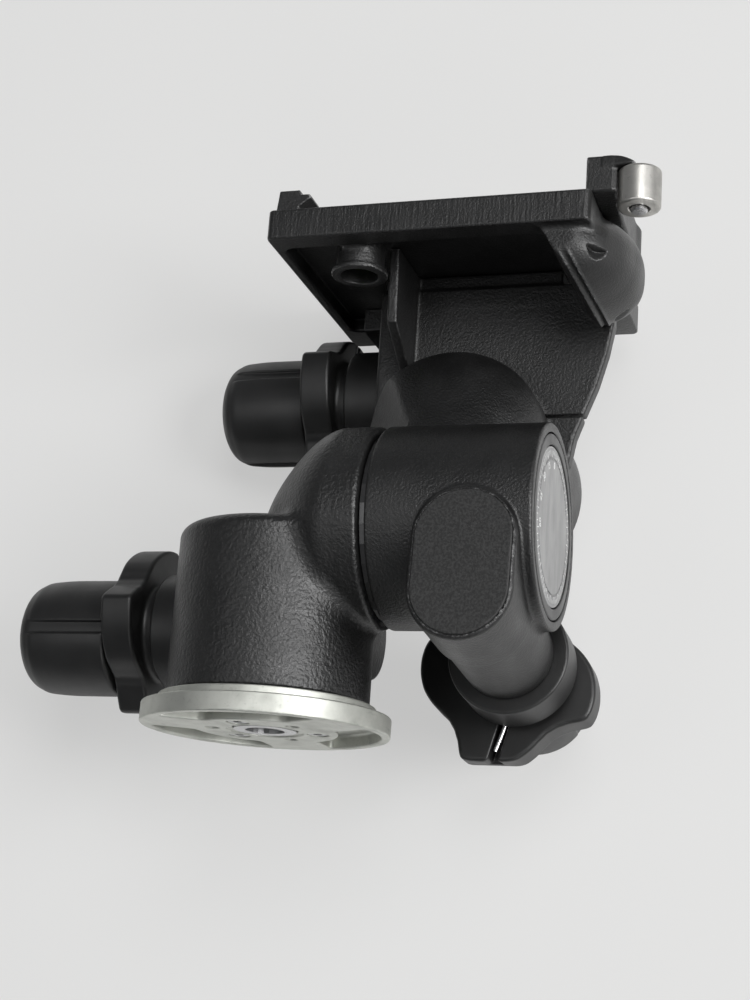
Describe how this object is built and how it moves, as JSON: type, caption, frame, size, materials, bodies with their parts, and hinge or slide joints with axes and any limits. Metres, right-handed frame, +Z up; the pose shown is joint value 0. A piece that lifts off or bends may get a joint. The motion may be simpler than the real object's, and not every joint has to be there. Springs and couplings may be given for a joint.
{
  "type": "geared head",
  "caption": "Tripod geared head with a round base, pan, tilt and side drums, a worm drive knob on each axis and a quick-release camera platform.",
  "frame": {"origin": "centre of the base's lower face, on the pan axis", "axes": "+Z up along the pan axis, +X along the tilt axis, +Y along the side axis"},
  "size_m": [0.1663, 0.1082, 0.147],
  "materials": {
    "aluminium": "satin, lightly worn",
    "black_paint": "fine wrinkle black paint on cast aluminium",
    "black_plastic": "satin black plastic",
    "bronze": "turned bronze",
    "dark_insert": "fine-grained black insert",
    "grey_dial": "satin grey",
    "level_liquid": "clear cap over a yellow-green liquid",
    "steel": "turned"
  },
  "bodies": {
    "base": {"base_plate": "aluminium", "stud_bush": "steel", "base_screw_1": "steel", "base_screw_2": "steel", "base_screw_3": "steel", "pan_worm_wheel": "bronze"},
    "pan_housing_group": {"pan_housing": "black_paint", "pan_bearing_bush": "bronze", "pan_spring_cup": "black_plastic", "tilt_spindle": "steel", "tilt_thrust_ring": "aluminium", "tilt_friction_ring": "bronze", "tilt_spindle_nut": "steel", "tilt_worm_wheel": "bronze"},
    "tilt_housing_group": {"tilt_housing": "black_paint", "tilt_bearing_bush": "bronze", "tilt_end_cap": "black_plastic", "tilt_dial": "grey_dial", "tilt_pad_insert": "dark_insert", "tilt_spring_cup": "black_plastic", "side_spindle": "steel", "side_thrust_ring": "aluminium", "side_friction_ring": "bronze", "side_spindle_nut": "steel", "side_worm_wheel": "bronze"},
    "side_arm_group": {"side_arm": "black_paint", "side_bearing_bush": "bronze", "side_end_cap": "black_plastic", "side_dial": "grey_dial", "side_spring_cup": "black_plastic", "camera_platform": "black_paint", "platform_screw_1": "steel", "platform_screw_2": "steel", "platform_screw_3": "steel", "platform_screw_4": "steel", "level_vial": "level_liquid", "fixed_jaw": "aluminium", "moving_jaw": "aluminium", "lever_pivot_pin": "steel"},
    "clamp_lever_group": {"clamp_lever": "black_plastic", "lever_barrel": "aluminium", "lock_spring": "steel"},
    "lock_button_group": {"lock_button": "steel"},
    "pan_collar_group": {"pan_collar": "black_plastic", "pan_eccentric_bush": "steel", "pan_return_spring": "steel"},
    "pan_knob_group": {"pan_worm_shaft": "steel", "pan_knob": "black_plastic"},
    "tilt_collar_group": {"tilt_collar": "black_plastic", "tilt_eccentric_bush": "steel", "tilt_return_spring": "steel"},
    "tilt_knob_group": {"tilt_worm_shaft": "steel", "tilt_knob": "black_plastic"},
    "side_collar_group": {"side_collar": "black_plastic", "side_eccentric_bush": "steel", "side_return_spring": "steel"},
    "side_knob_group": {"side_worm_shaft": "steel", "side_knob": "black_plastic"}
  },
  "joints": [
    {"name": "pan_turn", "type": "hinge", "parent": "base", "child": "pan_housing_group", "pos_m": [0, 0, 0.0289], "axis": [0, 0, 1], "continuous": true},
    {"name": "tilt_turn", "type": "hinge", "parent": "pan_housing_group", "child": "tilt_housing_group", "pos_m": [0.0269, 0, 0.0498], "axis": [1, 0, 0], "range_deg": [-30, 90]},
    {"name": "side_turn", "type": "hinge", "parent": "tilt_housing_group", "child": "side_arm_group", "pos_m": [0.036, 0.0286, 0.0775], "axis": [0, 1, 0], "range_deg": [-20, 80]},
    {"name": "lever_turn", "type": "hinge", "parent": "side_arm_group", "child": "clamp_lever_group", "pos_m": [0.0738, 0.04, 0.1337], "axis": [0, 0, 1], "range_deg": [0, 60]},
    {"name": "lock_press", "type": "slide", "parent": "clamp_lever_group", "child": "lock_button_group", "axis": [0, 0, 1], "range_m": [0, 0.002], "stiffness_N_per_m": 400, "springref_m": -0.001, "deforming": ["lock_spring"]},
    {"name": "pan_release", "type": "hinge", "parent": "pan_housing_group", "child": "pan_collar_group", "pos_m": [-0.0403, 0.0235, 0.0289], "axis": [1, 0, 0], "range_deg": [0, 50], "stiffness_Nm_per_rad": 0.08, "springref_deg": -20.05},
    {"name": "pan_knob_turn", "type": "hinge", "parent": "pan_collar_group", "child": "pan_knob_group", "pos_m": [-0.0492, 0.02257, 0.02691], "axis": [1, 0, 0], "continuous": true},
    {"name": "tilt_release", "type": "hinge", "parent": "tilt_housing_group", "child": "tilt_collar_group", "pos_m": [0.053, 0.03762, 0.02222], "axis": [0, -0.9945, 0.1045], "range_deg": [0, 50], "stiffness_Nm_per_rad": 0.08, "springref_deg": -20.05},
    {"name": "tilt_knob_turn", "type": "hinge", "parent": "tilt_collar_group", "child": "tilt_knob_group", "pos_m": [0.05101, 0.04657, 0.02221], "axis": [0, -0.9945, 0.1045], "range_deg": [-4320, 1440]},
    {"name": "side_release", "type": "hinge", "parent": "side_arm_group", "child": "side_collar_group", "pos_m": [-0.0043, 0.055, 0.101], "axis": [1, 0, 0], "range_deg": [0, 50], "stiffness_Nm_per_rad": 0.08, "springref_deg": -20.05},
    {"name": "side_knob_turn", "type": "hinge", "parent": "side_collar_group", "child": "side_knob_group", "pos_m": [-0.0132, 0.05699, 0.10007], "axis": [1, 0, 0], "range_deg": [-960, 3840]}
  ],
  "couplings": [
    {"joint": "pan_knob_turn", "follows": "pan_turn", "ratio": -48},
    {"joint": "tilt_knob_turn", "follows": "tilt_turn", "ratio": -48},
    {"joint": "side_knob_turn", "follows": "side_turn", "ratio": 48}
  ]
}
